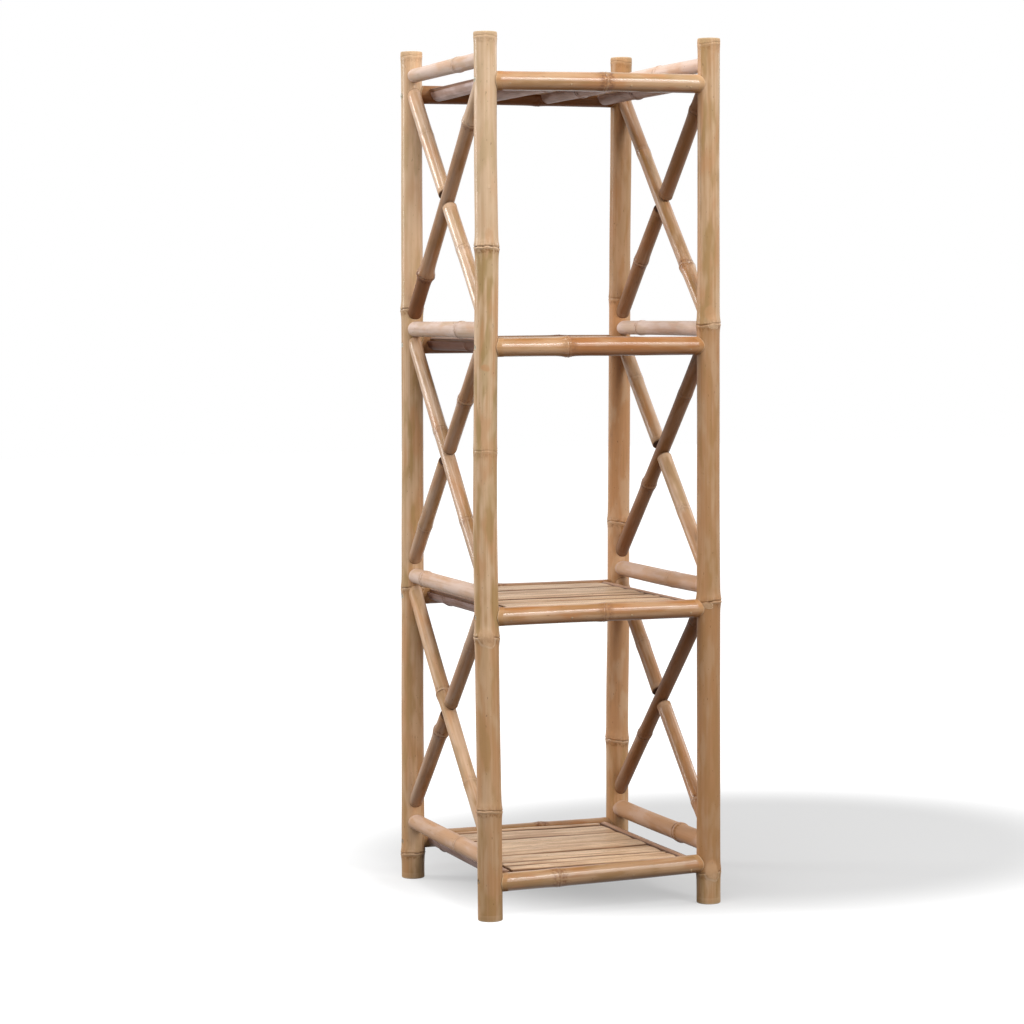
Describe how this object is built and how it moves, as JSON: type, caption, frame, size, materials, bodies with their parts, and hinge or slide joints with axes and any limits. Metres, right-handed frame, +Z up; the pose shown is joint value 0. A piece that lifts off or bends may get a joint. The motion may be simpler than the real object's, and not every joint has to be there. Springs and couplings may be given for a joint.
{
  "type": "bamboo storage shelf",
  "caption": "Tall square open storage shelf of round bamboo: four slatted decks between two side frames with crossed braces.",
  "frame": {"origin": "middle of the footprint, on the floor", "axes": "+Z up, +X to the right seen from the front, -Y to the front; the decks are open at front and rear"},
  "size_m": [0.35, 0.35, 1.17],
  "materials": {
    "post_bamboo": "satin varnish over bamboo skin",
    "shelf_rail_bamboo": "gloss varnish over bamboo skin",
    "side_rail_bamboo": "satin varnish over bamboo skin",
    "brace_bamboo": "gloss varnish over bamboo skin",
    "slat_bamboo": "matte split bamboo",
    "strip_bamboo": "matte split bamboo",
    "batten_bamboo": "satin bamboo skin",
    "dowel_wood": "bare turned wood",
    "screw_steel": "zinc plated",
    "nail_steel": "bright wire"
  },
  "bodies": {
    "root": {"front_left_post": "post_bamboo", "front_right_post": "post_bamboo", "rear_left_post": "post_bamboo", "rear_right_post": "post_bamboo", "front_rail_1": "shelf_rail_bamboo", "rear_rail_1": "shelf_rail_bamboo", "left_rail_1": "side_rail_bamboo", "right_rail_1": "side_rail_bamboo", "slats_1": "slat_bamboo", "left_end_strip_1": "strip_bamboo", "right_end_strip_1": "strip_bamboo", "battens_1": "batten_bamboo", "front_rail_2": "shelf_rail_bamboo", "rear_rail_2": "shelf_rail_bamboo", "left_rail_2": "side_rail_bamboo", "right_rail_2": "side_rail_bamboo", "slats_2": "slat_bamboo", "left_end_strip_2": "strip_bamboo", "right_end_strip_2": "strip_bamboo", "battens_2": "batten_bamboo", "front_rail_3": "shelf_rail_bamboo", "rear_rail_3": "shelf_rail_bamboo", "left_rail_3": "side_rail_bamboo", "right_rail_3": "side_rail_bamboo", "slats_3": "slat_bamboo", "left_end_strip_3": "strip_bamboo", "right_end_strip_3": "strip_bamboo", "battens_3": "batten_bamboo", "front_rail_4": "shelf_rail_bamboo", "rear_rail_4": "shelf_rail_bamboo", "left_rail_4": "side_rail_bamboo", "right_rail_4": "side_rail_bamboo", "slats_4": "slat_bamboo", "left_end_strip_4": "strip_bamboo", "right_end_strip_4": "strip_bamboo", "battens_4": "batten_bamboo", "left_through_brace_1": "brace_bamboo", "left_upper_brace_1": "brace_bamboo", "left_lower_brace_1": "brace_bamboo", "right_through_brace_1": "brace_bamboo", "right_upper_brace_1": "brace_bamboo", "right_lower_brace_1": "brace_bamboo", "left_through_brace_2": "brace_bamboo", "left_upper_brace_2": "brace_bamboo", "left_lower_brace_2": "brace_bamboo", "right_through_brace_2": "brace_bamboo", "right_upper_brace_2": "brace_bamboo", "right_lower_brace_2": "brace_bamboo", "left_through_brace_3": "brace_bamboo", "left_upper_brace_3": "brace_bamboo", "left_lower_brace_3": "brace_bamboo", "right_through_brace_3": "brace_bamboo", "right_upper_brace_3": "brace_bamboo", "right_lower_brace_3": "brace_bamboo", "rail_plugs": "dowel_wood", "side_rail_dowels": "dowel_wood", "brace_dowels": "dowel_wood", "cross_dowels": "dowel_wood", "shelf_screws": "screw_steel", "deck_nails": "nail_steel"}
  },
  "joints": []
}
